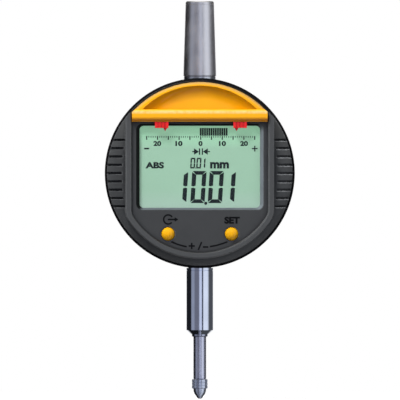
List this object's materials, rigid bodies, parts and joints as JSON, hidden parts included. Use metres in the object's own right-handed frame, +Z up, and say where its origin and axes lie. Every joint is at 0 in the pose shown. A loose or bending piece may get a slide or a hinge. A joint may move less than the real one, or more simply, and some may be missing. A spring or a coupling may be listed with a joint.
{
  "type": "digital indicator",
  "caption": "Round plunger gauge with a liquid crystal display head that turns on its case, a clamping stem, a sprung spindle with a knurled contact point and a cap over its upper end.",
  "frame": {"origin": "on the spindle axis, at the middle of the plain length of the stem that a stand clamps", "axes": "+Z up along the spindle, the way it is pushed in; +X to the right of the display; the display faces -Y and the back +Y"},
  "size_m": [0.0564, 0.0282, 0.1182],
  "materials": {
    "case_coat": "fine satin",
    "shell_plastic": "fine moulded grain",
    "cap_plastic": "smooth gloss",
    "button_plastic": "smooth gloss",
    "marker_plastic": "smooth gloss",
    "ground_steel": "turned and ground",
    "hardened_steel": "ground",
    "bright_metal": "polished",
    "ball_metal": "lapped",
    "bush_metal": "turned",
    "screw_steel": "blackened",
    "spring_steel": "drawn wire",
    "carrier_metal": "milled",
    "scale_glass": "polished",
    "window_glass": "polished",
    "cell_glass": "polished",
    "seal_rubber": "moulded",
    "strip_rubber": "moulded",
    "board_laminate": "solder mask",
    "chip_plastic": "moulded",
    "connector_plastic": "moulded",
    "rail_plastic": "moulded",
    "film_plastic": "film",
    "contact_metal": "plated strip",
    "cell_metal": "rolled"
  },
  "bodies": {
    "case": {"rear_case": "case_coat", "rear_cover": "case_coat", "rear_cover_gasket": "seal_rubber", "rear_cover_screws": "screw_steel", "clamping_stem": "ground_steel", "lower_bush": "ground_steel", "upper_bush": "bush_metal", "stop_buffer": "seal_rubber", "cap_base_ring": "bright_metal", "spindle_cap": "ground_steel", "guide_rail": "rail_plastic", "guide_rail_screws": "screw_steel", "return_spring": "spring_steel", "sensor_board": "board_laminate", "sensor_board_screws": "screw_steel", "reading_head": "chip_plastic", "sensor_connector": "connector_plastic", "battery_cell": "cell_metal", "battery_contact_negative": "contact_metal", "battery_contact_positive": "contact_metal", "head_seal_ring": "seal_rubber", "head_friction_spring": "spring_steel", "head_retaining_ring": "spring_steel"},
    "spindle_group": {"spindle": "hardened_steel", "contact_point": "hardened_steel", "contact_ball": "ball_metal", "scale_carrier": "carrier_metal", "scale_strip": "scale_glass", "guide_pin": "hardened_steel", "spring_pin": "spring_steel"},
    "battery_door_group": {"battery_door": "shell_plastic", "battery_door_seal": "seal_rubber"},
    "display_head": {"head_base": "shell_plastic", "display_housing": "shell_plastic", "head_screws": "screw_steel", "top_cap": "cap_plastic", "display_window": "window_glass", "lcd_panel": "cell_glass", "lcd_frame": "rail_plastic", "lcd_connector_strips": "strip_rubber", "display_board": "board_laminate", "display_chip": "chip_plastic", "display_board_screws": "screw_steel", "display_connector": "connector_plastic", "flex_ribbon": "film_plastic", "button_switches": "connector_plastic"},
    "mode_button_body": {"mode_button": "button_plastic"},
    "set_button_body": {"set_button": "button_plastic"},
    "left_marker_body": {"left_tolerance_marker": "marker_plastic"},
    "right_marker_body": {"right_tolerance_marker": "marker_plastic"}
  },
  "joints": [
    {"name": "spindle_slide", "type": "slide", "parent": "case", "child": "spindle_group", "axis": [0, 0, 1], "range_m": [0, 0.0125], "stiffness_N_per_m": 16, "springref_m": -0.034, "deforming": ["return_spring"]},
    {"name": "display_turn", "type": "hinge", "parent": "case", "child": "display_head", "pos_m": [0, 0, 0.03742], "axis": [0, 1, 0], "range_deg": [-135, 135]},
    {"name": "battery_door_turn", "type": "hinge", "parent": "case", "child": "battery_door_group", "pos_m": [0, 0, 0.03742], "axis": [0, 1, 0], "range_deg": [0, 45]},
    {"name": "mode_button_press", "type": "slide", "parent": "display_head", "child": "mode_button_body", "axis": [0, 1, 0], "range_m": [0, 0.0004], "stiffness_N_per_m": 1500, "springref_m": -0.0002},
    {"name": "set_button_press", "type": "slide", "parent": "display_head", "child": "set_button_body", "axis": [0, 1, 0], "range_m": [0, 0.0004], "stiffness_N_per_m": 1500, "springref_m": -0.0002},
    {"name": "left_marker_slide", "type": "slide", "parent": "display_head", "child": "left_marker_body", "axis": [1, 0, 0], "range_m": [-0.0051, 0.0089]},
    {"name": "right_marker_slide", "type": "slide", "parent": "display_head", "child": "right_marker_body", "axis": [1, 0, 0], "range_m": [-0.0095, 0.0045]}
  ]
}
